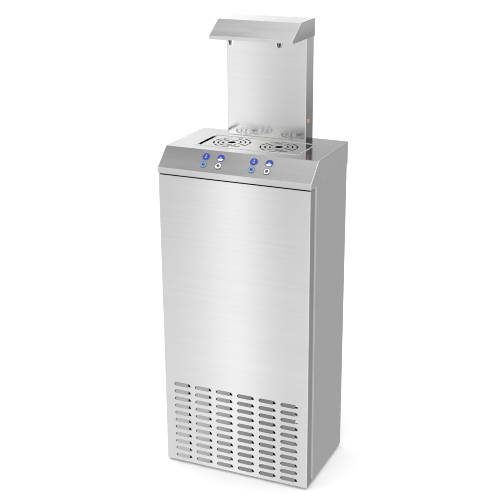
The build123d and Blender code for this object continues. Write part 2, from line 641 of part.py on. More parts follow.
def lamp_bezel():
    """Chromed ring of the indicator lamp on the column's right side."""
    x = HALF_COLUMN
    ring = rod(LAMP_R + 1.2, (x, LAMP_Y, LAMP_Z), (x + 1.2, LAMP_Y, LAMP_Z))
    ring = fillet(ring.edges().group_by(Axis.X)[-1], 0.5)
    barrel = rod(LAMP_R, (x - 14, LAMP_Y, LAMP_Z), (x, LAMP_Y, LAMP_Z))
    return ring + barrel - rod(LENS_R + 0.1, (x - 12, LAMP_Y, LAMP_Z), (x + 3, LAMP_Y, LAMP_Z))


def lamp_lens():
    x = HALF_COLUMN
    lens = rod(LENS_R, (x - 11.5, LAMP_Y, LAMP_Z), (x + 2.0, LAMP_Y, LAMP_Z))
    return fillet(lens.edges().group_by(Axis.X)[-1], 1.4)


VALVE_Z = 770.0
VALVE_XS = [side * SPOUT_X + step * 20.0 for side in (-1, 1) for step in (-1, 1)]
VALVE_Y = 112.0
TUBE_TOP_Z = 1366.0


def outlet_tube(side):
    """Drinking-water tube: up the column, forward under the hood and down into the outlet."""
    x = side * SPOUT_X
    route = [(x, VALVE_Y + 8, VALVE_Z + 44), (x, VALVE_Y + 8, TUBE_TOP_Z), (x, SPOUT_Y, TUBE_TOP_Z),
             (x, SPOUT_Y, UNDER_Z + 14)]
    return pipe(route, 4.0, 2.6, 7.5)


# ---------------------------------------------------------------- water valves
def solenoid_valves():
    """Four solenoid valves, a chilled and a still one for each outlet."""
    solids = []
    for x in VALVE_XS:
        body = span(x - 14, x + 14, VALVE_Y - 12, VALVE_Y + 16, VALVE_Z, VALVE_Z + 22)
        coil = Pos(x, VALVE_Y - 2, VALVE_Z - 34) * Cylinder(12.5, 34, align=UP)
        tail = Pos(x, VALVE_Y + 8, VALVE_Z + 22) * Cylinder(5, 10, align=UP)
        solids.append(body + coil + tail)
    return solids


def valve_manifolds():
    """Two tee blocks that bring a pair of valves to one outlet tube, on a wall bracket."""
    solids = []
    for side in (-1, 1):
        x = side * SPOUT_X
        tee = span(x - 30, x + 30, VALVE_Y, VALVE_Y + 16, VALVE_Z + 32, VALVE_Z + 44)
        solids.append(tee - rod(3.2, (x, VALVE_Y + 8, VALVE_Z + 36), (x, VALVE_Y + 8, VALVE_Z + 60)))
    return solids


# ---------------------------------------------------------------- refrigeration
def compressor():
    """Hermetic compressor: domed steel shell on a foot plate."""
    cx, cy = COMPRESSOR_AT
    profile = [(0, 20), (66, 20), (70, 30), (70, 140), (52, 172), (24, 184), (0, 185)]
    shell = revolve(Plane.XZ * Polygon(*profile, align=None), axis=Axis.Z)
    seam = Pos(0, 0, 104) * Cylinder(73, 6, align=UP)
    plate = span(-74, 74, -70, 70, 17.0, 20.0)
    plate -= [Pos(dx, dy, 10) * Cylinder(6.5, 20, align=UP) for dx, dy in FOOT_STEPS]
    stubs = [rod(4, (60, dy, 120), (86, dy, 120)) for dy in (-20, 0, 20)]
    return Pos(cx, cy, 0) * (shell + seam + plate + stubs)


def compressor_grommets():
    """Rubber mounts with their sleeves."""
    z = FLOOR_GAP + CAP_SHEET
    foot = Cylinder(11, 17.0 - z, align=UP) + Pos(0, 0, 17.0 - z) * Cylinder(6.3, 3.0, align=UP)
    foot += Pos(0, 0, 20.0 - z) * Cylinder(10, 4, align=UP)
    foot -= Cylinder(3.3, 60)
    return [Pos(x, y, z) * foot for x, y in COMPRESSOR_FEET]


def compressor_bolts():
    z = FLOOR_GAP
    bolt = Pos(0, 0, -3.0) * Cylinder(5, 3.0, align=UP) + Cylinder(3.0, 20, align=UP)
    return [Pos(x, y, z) * bolt for x, y in COMPRESSOR_FEET]


CONDENSER_X = 168.0
CONDENSER_Y0 = -138.0
CONDENSER_Y1 = -106.0
CONDENSER_Z0 = 44.0
CONDENSER_Z1 = 292.0
FAN_Z = 168.0
FAN_R = 102.0
FAN_Y = -86.0


def condenser():
    """Finned-tube condenser block behind the louvres."""
    fins = []
    count = 29
    pitch = (2 * CONDENSER_X - 2) / (count - 1)
    for i in range(count):
        x = -CONDENSER_X + i * pitch
        fins.append(span(x, x + 2, CONDENSER_Y0, CONDENSER_Y1, CONDENSER_Z0, CONDENSER_Z1))
    rows = [rod(4.5, (-CONDENSER_X - 6, -122, z), (CONDENSER_X + 6, -122, z))
            for z in range(60, 290, 36)]
    return fins[0] + fins[1:] + rows


def fan_shroud():
    """Duct plate that draws air through the condenser."""
    plate = span(-CONDENSER_X, CONDENSER_X, -104, -102.5, FLOOR_GAP + CAP_SHEET, CONDENSER_Z1)
    duct = rod(FAN_R + 8, (0, -104, FAN_Z), (0, -74, FAN_Z))
    return plate + duct - rod(FAN_R + 6, (0, -110, FAN_Z), (0, -60, FAN_Z))


def fan_bracket():
    """Four arms from the duct to the motor."""
    ring = rod(FAN_R + 14, (0, -74, FAN_Z), (0, -71, FAN_Z))
    ring -= rod(FAN_R + 2, (0, -80, FAN_Z), (0, -60, FAN_Z))
    arms = [Pos(0, -72.5, FAN_Z) * Rot(0, a, 0) * span(30, FAN_R + 8, -1.5, 1.5, -5, 5)
            for a in (45, 135, 225, 315)]
    hub = rod(36, (0, -74, FAN_Z), (0, -71, FAN_Z)) - rod(12, (0, -80, FAN_Z), (0, -60, FAN_Z))
    return ring + arms + hub


def fan_motor():
    """Shaded-pole motor can."""
    can = rod(33, (0, -71, FAN_Z), (0, -22, FAN_Z))
    can = fillet(can.edges().group_by(Axis.Y)[-1], 5)
    return can - rod(4.05, (0, -80, FAN_Z), (0, -40, FAN_Z))


def fan_rotor():
    """Five-bladed axial fan with its shaft."""
    hub = rod(26, (0, FAN_Y - 9, FAN_Z), (0, FAN_Y + 9, FAN_Z))
    shaft = rod(4.0, (0, FAN_Y, FAN_Z), (0, -42, FAN_Z))
    blade = Pos(60, 0, 0) * Rot(28, 0, 0) * Box(78, 1.6, 30)
    blade &= Rot(90, 0, 0) * (Cylinder(FAN_R, 40) - Cylinder(20, 40))
    blades = [Pos(0, FAN_Y, FAN_Z) * Rot(0, i * 72, 0) * blade for i in range(5)]
    return hub + blades + shaft


def filter_drier():
    """Copper refrigerant drier with its necked ends."""
    profile = [(0, 40), (3, 40), (3, 52), (10, 62), (10, 132), (3, 142), (3, 156), (0, 156)]
    body = revolve(Plane.XZ * Polygon(*profile, align=None), axis=Axis.Z)
    return Pos(70, 100, 0) * body


def refrigerant_lines():
    """Copper lines between compressor, condenser, drier and chiller."""
    cx, cy = COMPRESSOR_AT
    suction = pipe([(cx + 86, cy, 120), (cx + 104, cy, 120), (cx + 104, cy, 330), (-175, cy - 4, 330),
                    (-175, cy - 4, 470), (-152, cy - 4, 470)], 4, 0, 8)
    discharge = pipe([(cx + 86, cy - 20, 120), (cx + 100, cy - 20, 120), (cx + 100, cy - 20, 306),
                      (185, cy - 20, 306), (185, -122, 306), (185, -122, 276), (175, -122, 276)], 3.5, 0, 6)
    liquid = pipe([(175, -122, 60), (192, -122, 60), (192, 100, 60),
                   (192, 100, 30), (70, 100, 30), (70, 100, 40)], 3, 0, 4.5)
    return [suction, discharge, liquid]


TANK_X = 150.0
TANK_Y0 = -84.0
TANK_Y1 = 96.0
TANK_Z1 = 690.0
WALL = 24.0


def chiller_tank():
    """Insulated water-bath tank."""
    box = span(-TANK_X, TANK_X, TANK_Y0, TANK_Y1, SHELF_Z, TANK_Z1)
    box = fillet(box.edges().filter_by(Axis.Z), 10)
    return box - span(-TANK_X + WALL, TANK_X - WALL, TANK_Y0 + WALL, TANK_Y1 - WALL,
                      SHELF_Z + WALL, TANK_Z1 + 1)


AGITATOR_AT = (0.0, 6.0)


def chiller_lid():
    lid = span(-TANK_X, TANK_X, TANK_Y0, TANK_Y1, TANK_Z1, TANK_Z1 + 18)
    lid = fillet(lid.edges().filter_by(Axis.Z), 10)
    return lid - Pos(AGITATOR_AT[0], AGITATOR_AT[1], TANK_Z1 - 5) * Cylinder(6, 40, align=UP)


def coil_stack(loop, count, pitch, riser):
    """Turns of a coil one above the other, joined by a riser."""
    turns = [Pos(0, 0, i * pitch) * loop for i in range(count)]
    return turns[0] + turns[1:] + riser


def evaporator_coil():
    """Oblong copper coil round the inside of the tank."""
    path = RectangleRounded(232, 112, 30).wire()
    start = path @ 0
    loop = sweep(Plane(origin=start, z_dir=path % 0) * Circle(4.5), path=path)
    riser = rod(4.5, (0, 56, 0), (0, 56, 11 * 19))
    return Pos(0, 6, 450) * coil_stack(loop, 12, 19, riser)


def water_coils():
    """Two stainless drinking-water coils inside the evaporator."""
    loop = Torus(30, 4)
    riser = rod(4, (30, 0, 0), (30, 0, 210))
    stack = coil_stack(loop, 15, 15, riser)
    return [Pos(side * 64, 6, 452) * stack for side in (-1, 1)]


def agitator_motor():
    """Small motor on the tank lid that turns the agitator."""
    x, y = AGITATOR_AT
    z = TANK_Z1 + 18
    can = Pos(x, y, z) * Cylinder(28, 52, align=UP)
    can = fillet(can.edges().group_by(Axis.Z)[-1], 4)
    return can - Pos(x, y, z - 1) * Cylinder(3.05, 34, align=UP)


def agitator():
    """Agitator shaft with a three-bladed impeller."""
    x, y = AGITATOR_AT
    shaft = Pos(x, y, 470) * Cylinder(3.0, TANK_Z1 + 18 + 30 - 470, align=UP)
    hub = Pos(x, y, 466) * Cylinder(7, 16, align=UP)
    blade = Pos(13, 0, 0) * Rot(30, 0, 0) * Box(18, 12, 1.5)
    blades = [Pos(x, y, 474) * Rot(0, 0, i * 120) * blade for i in range(3)]
    return shaft + hub + blades


# ---------------------------------------------------------------- write every node
def main():
    os.makedirs("parts", exist_ok=True)
    nodes = {
        "levelling_feet": levelling_feet(),
        "foot_locknuts": foot_locknuts(),
        "base_tray": base_tray(),
        "front_panel": front_panel(),
        "side_panel_left": side_panel(-1),
        "side_panel_right": side_panel(1),
        "frame_posts": frame_posts(),
        "frame_rails": frame_rails(),
        "cooler_shelf": cooler_shelf(),
        "back_panel": back_panel(),
        "service_plate": service_plate(),
        "water_inlet": water_inlet(),
        "drain_outlet": drain_outlet(),
        "mains_inlet": mains_inlet(),
        "panel_screws": panel_screws(),
        "worktop_cap": worktop_cap(),
        "cap_screws": cap_screws(),
        "drip_basin": drip_basin(),
        "drip_grille": drip_grille(),
        "drain_hose": drain_hose(),
        "icon_labels": icon_labels(),
        "button_housings": button_housings(),
        "led_rings_chilled": led_rings(BUTTON_XS[0::2]),
        "led_rings_still": led_rings(BUTTON_XS[1::2]),
        "button_cap_left_chilled": button_cap(BUTTON_XS[0]),
        "button_cap_left_still": button_cap(BUTTON_XS[1]),
        "button_cap_right_chilled": button_cap(BUTTON_XS[2]),
        "button_cap_right_still": button_cap(BUTTON_XS[3]),
        "button_nuts": button_nuts(),
        "control_box": control_box(),
        "control_box_lid": control_box_lid(),
        "control_board": control_board(),
        "column_shell": column_shell(),
        "column_back_cover": column_back_cover(),
        "column_screws": column_screws(),
        "hood_shell": hood_shell(),
        "hood_underplate": hood_underplate(),
        "spouts": [spout(-1), spout(1)],
        "spout_nuts": spout_nuts(),
        "lamp_bezel": lamp_bezel(),
        "lamp_lens": lamp_lens(),
        "outlet_tubes": [outlet_tube(-1), outlet_tube(1)],
        "solenoid_valves": solenoid_valves(),
        "valve_manifolds": valve_manifolds(),
        "compressor": compressor(),
        "compressor_grommets": compressor_grommets(),
        "compressor_bolts": compressor_bolts(),
        "condenser": condenser(),
        "fan_shroud": fan_shroud(),
        "fan_bracket": fan_bracket(),
        "fan_motor": fan_motor(),
        "fan_rotor": fan_rotor(),
        "filter_drier": filter_drier(),
        "refrigerant_lines": refrigerant_lines(),
        "chiller_tank": chiller_tank(),
        "chiller_lid": chiller_lid(),
        "evaporator_coil": evaporator_coil(),
        "water_coils": water_coils(),
        "agitator_motor": agitator_motor(),
        "agitator": agitator(),
    }
    for name, shape in nodes.items():
        save(name, shape)
    print(len(nodes), "nodes")


main()
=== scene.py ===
"""Looks for the twin-outlet drinking fountain: materials, small printed details, studio and camera."""
import json
import math

import bmesh
import bpy
from mathutils import Matrix, Vector


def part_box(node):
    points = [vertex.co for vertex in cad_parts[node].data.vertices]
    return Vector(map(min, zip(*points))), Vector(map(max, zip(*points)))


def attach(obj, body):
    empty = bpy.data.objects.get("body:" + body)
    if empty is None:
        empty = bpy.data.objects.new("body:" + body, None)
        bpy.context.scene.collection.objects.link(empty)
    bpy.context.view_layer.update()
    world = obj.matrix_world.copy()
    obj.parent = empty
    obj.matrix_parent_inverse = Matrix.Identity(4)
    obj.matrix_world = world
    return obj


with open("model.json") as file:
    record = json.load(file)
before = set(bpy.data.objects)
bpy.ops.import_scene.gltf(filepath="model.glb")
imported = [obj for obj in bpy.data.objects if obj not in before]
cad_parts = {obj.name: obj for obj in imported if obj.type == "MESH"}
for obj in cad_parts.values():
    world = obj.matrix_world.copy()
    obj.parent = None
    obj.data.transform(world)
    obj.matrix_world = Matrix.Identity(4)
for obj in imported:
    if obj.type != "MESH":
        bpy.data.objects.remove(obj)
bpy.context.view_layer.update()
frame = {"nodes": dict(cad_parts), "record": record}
NODES = frame["nodes"]
MM = 0.001

# ---------------------------------------------------------------- camera (metres, degrees)
CAMERA_AT = Vector((1.272, -2.889, 1.820))
CAMERA_YAW = 23.98
CAMERA_PITCH = -19.50
CAMERA_ROLL = -0.355
CAMERA_LENS = 78.74


def make_camera():
    """Long lens looking down on the front and right side, with no shift."""
    data = bpy.data.cameras.new("camera")
    data.lens = CAMERA_LENS
    data.sensor_width = 36.0
    camera = bpy.data.objects.new("camera", data)
    bpy.context.scene.collection.objects.link(camera)
    turn = Matrix.Rotation(math.radians(CAMERA_YAW), 4, "Z")
    tilt = Matrix.Rotation(math.radians(90 + CAMERA_PITCH), 4, "X")
    roll = Matrix.Rotation(math.radians(CAMERA_ROLL), 4, "Z")
    camera.matrix_world = Matrix.Translation(CAMERA_AT) @ turn @ tilt @ roll
    bpy.context.scene.camera = camera


# ---------------------------------------------------------------- node helpers
class Graph:
    """Small helper to wire shader nodes."""

    def __init__(self, tree):
        self.tree = tree
        tree.nodes.clear()

    def add(self, kind, values=None, **settings):
        node = self.tree.nodes.new(kind)
        for key, value in settings.items():
            setattr(node, key, value)
        for key, value in (values or {}).items():
            node.inputs[key].default_value = value
        return node

    def link(self, source, target):
        self.tree.links.new(source, target)

    def math(self, operation, a, b=0.0):
        node = self.add("ShaderNodeMath", operation=operation)
        for socket, value in zip(node.inputs, (a, b)):
            if isinstance(value, (int, float)):
                socket.default_value = value
            else:
                self.link(value, socket)
        return node.outputs[0]

    def ramp(self, source, low, high, to_low=0.0, to_high=1.0):
        """Smooth step of a value from one level to another."""
        node = self.add("ShaderNodeMapRange", interpolation_type="SMOOTHSTEP")
        self.link(source, node.inputs["Value"])
        for key, value in zip(("From Min", "From Max", "To Min", "To Max"), (low, high, to_low, to_high)):
            node.inputs[key].default_value = value
        return node.outputs["Result"]

    def mix(self, mask, a, b):
        """Number a where the mask is 0, b where it is 1."""
        node = self.add("ShaderNodeMix")
        self.link(mask, node.inputs["Factor"])
        for key, value in (("A", a), ("B", b)):
            if isinstance(value, (int, float)):
                node.inputs[key].default_value = value
            else:
                self.link(value, node.inputs[key])
        return node.outputs["Result"]

    def profile(self, source, table):
        """Soft steps from one value of a table to the next."""
        level = table[0][1]
        for (a, _), (b, value) in zip(table, table[1:]):
            level = self.mix(self.ramp(source, a, b), level, value)
        return level

    def noise(self, stretch, scale=1.0, detail=2.0):
        """Noise in the object's own metres, stretched along an axis."""
        where = self.add("ShaderNodeTexCoord")
        mapping = self.add("ShaderNodeMapping", {"Scale": stretch})
        self.link(where.outputs["Object"], mapping.inputs["Vector"])
        noise = self.add("ShaderNodeTexNoise", {"Scale": scale, "Detail": detail})
        self.link(mapping.outputs["Vector"], noise.inputs["Vector"])
        return noise.outputs["Fac"]

    def tint(self, source, dark, light):
        """Colour that runs between two tones with a value."""
        node = self.add("ShaderNodeMix", data_type="RGBA")
        node.inputs["A"].default_value = (*dark, 1.0)
        node.inputs["B"].default_value = (*light, 1.0)
        self.link(source, node.inputs["Factor"])
        return node.outputs["Result"]


def new_material(name):
    """Material with a principled shader, and the helper that wires it."""
    material = bpy.data.materials.new(name)
    material.use_nodes = True
    graph = Graph(material.node_tree)
    shader = graph.add("ShaderNodeBsdfPrincipled")
    out = graph.add("ShaderNodeOutputMaterial")
    graph.link(shader.outputs["BSDF"], out.inputs["Surface"])
    return material, graph, shader


def bump(graph, shader, height, strength, distance):
    """Surface relief from a height between 0 and 1."""
    node = graph.add("ShaderNodeBump", {"Strength": strength, "Distance": distance})
    graph.link(height, node.inputs["Height"])
    graph.link(node.outputs["Normal"], shader.inputs["Normal"])


# ---------------------------------------------------------------- materials
GRAIN_ACROSS = 2200.0      # brushing lines per metre, before the noise's own detail
GRAIN_ALONG = 14.0
STREAKS_ACROSS = 90.0      # broad rolling streaks per metre
STREAKS_ALONG = 1.2
FINE_SHARE = 0.45          # how much of the tone comes from the fine grain, the rest from the streaks
TONE_SPREAD = 0.06         # how far the grain darkens and lightens the sheet
WARMTH = 0.005             # how much less blue than red and green
SIDE_SHADE_FACING = (0.85, 0.98)    # size of the normal's x over which a face counts as looking left or right and gets the painted side shade
TILT_SHADE_FACING = (0.25, 0.38)     # the normal's z over which a face counts as leaning up and gets the painted shade for upward faces


def painted_face_shade(graph, shade_span, shade_tones, tilt_shade):
    """Painted shade: a factor of 1 on most faces, a painted shade that runs with height on faces that look
    left or right, and the painted shade passed in for faces that lean up."""
    where = graph.add("ShaderNodeTexCoord")
    facing = graph.add("ShaderNodeSeparateXYZ")
    graph.link(where.outputs["Normal"], facing.inputs[0])
    place = graph.add("ShaderNodeSeparateXYZ")
    graph.link(where.outputs["Object"], place.inputs[0])
    side_shade_mask = graph.ramp(graph.math("ABSOLUTE", facing.outputs[0]), *SIDE_SHADE_FACING)
    factor = graph.mix(side_shade_mask, 1.0, graph.ramp(place.outputs[2], *shade_span, *shade_tones))
    if tilt_shade < 1.0:
        tilt_shade_mask = graph.ramp(facing.outputs[2], *TILT_SHADE_FACING)
        factor = graph.mix(tilt_shade_mask, factor, tilt_shade)
    return factor


def brushed_steel(name, grain, tone=0.74, rough=0.20, around="Z", shade_span=(0.0, 1.0), shade_tones=(1.0, 1.0),
                  tilt_shade=1.0):
    """Brushed stainless sheet with its grain along one axis (0, 1 or 2) and its highlights drawn out around
    another; the last three arguments set the painted shade on faces that look left or right or lean up."""
    material, graph, shader = new_material(name)
    stretch = [GRAIN_ACROSS] * 3
    stretch[grain] = GRAIN_ALONG
    fine = graph.noise(tuple(stretch), 1.0, 3.0)
    wide = [STREAKS_ACROSS] * 3
    wide[grain] = STREAKS_ALONG
    streaks = graph.noise(tuple(wide), 1.0, 2.0)
    cloud = graph.noise((1.0, 1.0, 1.0), 3.0, 2.0)
    both = graph.math("ADD", graph.math("MULTIPLY", fine, FINE_SHARE),
                      graph.math("MULTIPLY", streaks, 1 - FINE_SHARE))
    dark, light = [(tone * k, tone * k, tone * (k - WARMTH)) for k in (1 - TONE_SPREAD, 1 + TONE_SPREAD)]
    shaded = graph.add("ShaderNodeVectorMath", operation="SCALE")
    graph.link(graph.tint(both, dark, light), shaded.inputs[0])
    # Painted shade: the grain colour is scaled down on faces by the way they face and by their height.
    graph.link(painted_face_shade(graph, shade_span, shade_tones, tilt_shade), shaded.inputs["Scale"])
    graph.link(shaded.outputs[0], shader.inputs["Base Color"])
    spread = graph.math("ADD", graph.math("MULTIPLY", fine, 0.04), graph.math("MULTIPLY", cloud, 0.05))
    graph.link(graph.math("ADD", spread, rough - 0.045), shader.inputs["Roughness"])
    shader.inputs["Metallic"].default_value = 1.0
    shader.inputs["Anisotropic"].default_value = 0.8
    shader.inputs["Anisotropic Rotation"].default_value = 0.25
    tangent = graph.add("ShaderNodeTangent", direction_type="RADIAL", axis=around)
    graph.link(tangent.outputs["Tangent"], shader.inputs["Tangent"])
    bump(graph, shader, both, 0.04, 0.0001)
    return material


BOWL_SHADE_EDGE = (1.022, 1.031)  # heights between which the painted shade in the pan gives way to bright steel


def basin_steel():
    """Drawn pan: bright rim, blotchy gloss, and painted shade that darkens it down in the bowl."""
    material, graph, shader = new_material("steel_basin")
    where = graph.add("ShaderNodeTexCoord")
    place = graph.add("ShaderNodeSeparateXYZ")
    graph.link(where.outputs["Object"], place.inputs[0])
    smudge_and_shade_wobble = graph.noise((40.0, 40.0, 25.0), 1.0, 4.0)
    shade_edge_height = graph.math("ADD", place.outputs[2], graph.math("MULTIPLY", smudge_and_shade_wobble, 0.004))
    painted_bowl_shade = graph.ramp(shade_edge_height, *BOWL_SHADE_EDGE)
    # Painted shade: the near-black tone below the edge heights stands in for the shade down in the bowl;
    # the noise only wobbles its edge.
    graph.link(graph.tint(painted_bowl_shade, (0.07, 0.07, 0.068), (0.82, 0.82, 0.81)), shader.inputs["Base Color"])
    graph.link(graph.math("ADD", graph.math("MULTIPLY", smudge_and_shade_wobble, 0.2), 0.08), shader.inputs["Roughness"])
    shader.inputs["Metallic"].default_value = 1.0
    bump(graph, shader, smudge_and_shade_wobble, 0.03, 0.0005)
    return material


def plain_metal(name, colour, rough, spread=0.06, scale=400.0):
    """Turned, plated or cast metal with fine uneven gloss."""
    material, graph, shader = new_material(name)
    grain = graph.noise((scale, scale, scale), 1.0, 3.0)
    dark = tuple(c * 0.9 for c in colour)
    graph.link(graph.tint(grain, dark, colour), shader.inputs["Base Color"])
    graph.link(graph.math("ADD", graph.math("MULTIPLY", grain, spread), rough), shader.inputs["Roughness"])
    shader.inputs["Metallic"].default_value = 1.0
    bump(graph, shader, grain, 0.08, 0.0001)
    return material


FLOWERS_PER_METRE = 105.0


def galvanised():
    """Zinc-coated sheet with its crystal flowers."""
    material, graph, shader = new_material("galvanised_sheet")
    where = graph.add("ShaderNodeTexCoord")
    flowers = graph.add("ShaderNodeTexVoronoi", {"Scale": FLOWERS_PER_METRE})
    graph.link(where.outputs["Object"], flowers.inputs["Vector"])
    split = graph.add("ShaderNodeSeparateColor")
    graph.link(flowers.outputs["Color"], split.inputs["Color"])
    zinc = graph.tint(split.outputs[0], (0.42, 0.43, 0.44), (0.52, 0.53, 0.54))
    graph.link(zinc, shader.inputs["Base Color"])
    gloss = graph.math("ADD", graph.math("MULTIPLY", split.outputs[1], 0.15), 0.34)
    graph.link(gloss, shader.inputs["Roughness"])
    shader.inputs["Metallic"].default_value = 1.0
    return material


def moulded(name, colour, rough, grain=900.0, relief=0.15, coat=0.0):
    """Moulded plastic or rubber with a fine skin."""
    material, graph, shader = new_material(name)
    skin = graph.noise((grain, grain, grain), 1.0, 2.0)
    dark = tuple(c * 0.86 for c in colour)
    graph.link(graph.tint(skin, dark, colour), shader.inputs["Base Color"])
    gloss = graph.math("ADD", graph.math("MULTIPLY", skin, 0.12), rough - 0.06)
    graph.link(gloss, shader.inputs["Roughness"])
    shader.inputs["Coat Weight"].default_value = coat
    shader.inputs["Coat Roughness"].default_value = 0.06
    bump(graph, shader, skin, relief, 0.0002)
    return material


def glowing(name, colour, glow, strength, coat=0.6):
    """Translucent lit plastic."""
    material, graph, shader = new_material(name)
    haze = graph.noise((700.0, 700.0, 700.0), 1.0, 1.0)
    graph.link(graph.tint(haze, tuple(c * 0.9 for c in colour), colour), shader.inputs["Base Color"])
    shader.inputs["Roughness"].default_value = 0.25
    shader.inputs["Emission Color"].default_value = (*glow, 1.0)
    shader.inputs["Emission Strength"].default_value = strength
    shader.inputs["Coat Weight"].default_value = coat
    return material


def smoky_hose():
    """Smoke-tinted flexible hose."""
    material, graph, shader = new_material("smoky_hose")
    haze = graph.noise((300.0, 300.0, 60.0), 1.0, 2.0)
    graph.link(graph.tint(haze, (0.17, 0.18, 0.19), (0.26, 0.27, 0.28)), shader.inputs["Base Color"])
    shader.inputs["Roughness"].default_value = 0.35
    shader.inputs["Subsurface Weight"].default_value = 0.1
    return material


def slot_materials():
    """One finish for each material slot of the record, apart from the sheet steel."""
    return {
        "galvanised": galvanised(),
        "chrome": plain_metal("chrome", (0.84, 0.84, 0.85), 0.03, 0.03),
        "stainless_hardware": plain_metal("turned_stainless", (0.62, 0.61, 0.6), 0.22),
        "zinc_fastener": plain_metal("zinc_plate", (0.66, 0.67, 0.66), 0.32),
        "black_plastic": moulded("black_plastic", (0.03, 0.03, 0.032), 0.45),
        "white_plastic": moulded("white_plastic", (0.8, 0.8, 0.78), 0.35),
        "label_blue": moulded("label_blue", (0.012, 0.045, 0.36), 0.25, 600.0, 0.03, 0.5),
        "led_blue": glowing("led_blue", (0.11, 0.33, 0.68), (0.2, 0.5, 1.0), 0.15),
        "led_white": glowing("led_white", (0.72, 0.74, 0.76), (0.9, 0.95, 1.0), 0.12),
        "lamp_orange": glowing("lamp_orange", (0.75, 0.07, 0.005), (1.0, 0.13, 0.0), 0.95, 0.0),
        "brass": plain_metal("brass", (0.72, 0.52, 0.25), 0.22),
        "copper": plain_metal("copper", (0.36, 0.17, 0.11), 0.4),
        "black_enamel": moulded("black_enamel", (0.02, 0.02, 0.022), 0.22, 300.0, 0.05, 0.5),
        "rubber": moulded("rubber", (0.035, 0.035, 0.035), 0.7),
        "clear_hose": smoky_hose(),
        "circuit_board": moulded("circuit_board", (0.03, 0.2, 0.08), 0.35, 500.0, 0.05),
        "foam_grey": moulded("foam_grey", (0.32, 0.33, 0.34), 0.8, 260.0, 0.5),
        # Painted shade: the fins are made near black so that the gaps behind the louvres read as dark
        # shade.
        "aluminium_fins": plain_metal("shade_black_fins", (0.05, 0.05, 0.05), 0.6),
    }


def steel_for_nodes():
    """Sheet-steel nodes, each brushed along its own fold; the front panel, column and hood also carry
    painted shade on some faces.
    """
    return {
        # Painted shade: the front panel's left- and right-facing faces are darkened to 0.60 and its
        # upward-leaning faces to 0.50.
        "front_panel": brushed_steel("steel_front", 0, 0.87, 0.15, shade_tones=(0.60, 0.60), tilt_shade=0.50),
        "side_panel_left": brushed_steel("steel_side_left", 1, 0.76, 0.24),
        "side_panel_right": brushed_steel("steel_side_right", 1, 0.76, 0.24),
        "frame_posts": brushed_steel("steel_posts", 2, 0.88, 0.22),
        "worktop_cap": brushed_steel("steel_cap", 0, 0.78, 0.15, "Y"),
        "drip_basin": basin_steel(),
        "drip_grille": brushed_steel("steel_grille", 0, 0.80, 0.14, "Y"),
        # Painted shade: the column's left and right faces run from 0.38 at 1.02 m up to full brightness at
        # 1.33 m, darker towards the bottom.
        "column_shell": brushed_steel("steel_column", 0, 0.84, 0.11, "Z", (1.02, 1.33), (0.38, 1.0)),
        "column_back_cover": brushed_steel("steel_cover", 0, 0.74, 0.24),
        # Painted shade and painted light: the hood's left and right faces run from 0.72 at 1.33 m up to 1.1
        # at 1.39 m.
        "hood_shell": brushed_steel("steel_hood", 0, 0.78, 0.16, "Y", (1.33, 1.39), (0.72, 1.1)),
        "hood_underplate": brushed_steel("steel_underplate", 0, 0.6, 0.24, "Y"),
    }


def dress_nodes():
    """Every CAD node takes the finish of its slot or its own brushed sheet."""
    by_slot = slot_materials()
    by_node = steel_for_nodes()
    # Painted reflection: the bezel steel is darkened to stand for the dark surroundings that its polished
    # chamfer mirrors.
    by_node["button_housings"] = plain_metal("bezel_dark_reflection", (0.30, 0.29, 0.28), 0.2)
    for side in ("left", "right"):
        for kind in ("chilled", "still"):
            by_node[f"button_cap_{side}_{kind}"] = plain_metal("button_cap", (0.26, 0.20, 0.17), 0.24)
    for entry in frame["record"]["subparts"]:
        name = entry["node"]
        material = by_node.get(name) or by_slot[entry["material_slot"]]
        mesh = NODES[name].data
        mesh.materials.clear()
        mesh.materials.append(material)


# ---------------------------------------------------------------- printed icon discs
# unit vectors that point up along the sloped fascia, squarely out of it, and to the right
FASCIA_UP = Vector((0.0, 0.7382, 0.6746))
FASCIA_OUT = Vector((0.0, -0.6746, 0.7382))
ACROSS = Vector((1.0, 0.0, 0.0))
PRINT_THICK = 0.12 * MM
RIM_DEPTH = 0.5 * MM       # how far a rim reaches down beside its disc
DISC_REACH = 13 * MM       # sideways distance within which a corner belongs to a disc
RIM_RADII = (12.35, 11.55)
RIM_STEPS = 48


def label_centres():
    """Middle of each icon disc's outer face."""
    corners = [NODES["icon_labels"].matrix_world @ v.co for v in NODES["icon_labels"].data.vertices]
    centres = []
    for side in ("left", "right"):
        for kind in ("chilled", "still"):
            lo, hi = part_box(f"button_cap_{side}_{kind}")
            middle = (lo.x + hi.x) / 2
            disc = [c for c in corners if abs(c.x - middle) < DISC_REACH]
            centre = sum(disc, Vector()) / len(disc)
            top = max(c.dot(FASCIA_OUT) for c in disc)
            centres.append((side, kind, centre + FASCIA_OUT * (top - centre.dot(FASCIA_OUT))))
    return centres


def on_disc(centre, u, v):
    """Point u millimetres across and v up a disc's face."""
    return centre + (ACROSS * u + FASCIA_UP * v) * MM


def fixed_piece(name, work, material):
    """Turns finished mesh work into a piece that rides on the cabinet."""
    mesh = bpy.data.meshes.new(name)
    work.to_mesh(mesh)
    work.free()
    mesh.materials.append(material)
    piece = bpy.data.objects.new(name, mesh)
    bpy.context.scene.collection.objects.link(piece)
    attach(piece, "cabinet")


def printed_shape(name, centre, outlines, material):
    """Flat raised print: outlines in millimetres across and up the disc."""
    work = bmesh.new()
    for outline in outlines:
        low = [work.verts.new(on_disc(centre, u, v)) for u, v in outline]
        high = [work.verts.new(v.co + FASCIA_OUT * PRINT_THICK) for v in low]
        work.faces.new(high)
        work.faces.new(low[::-1])
        for i in range(len(low)):
            j = (i + 1) % len(low)
            work.faces.new((low[i], low[j], high[j], high[i]))
    fixed_piece(name, work, material)


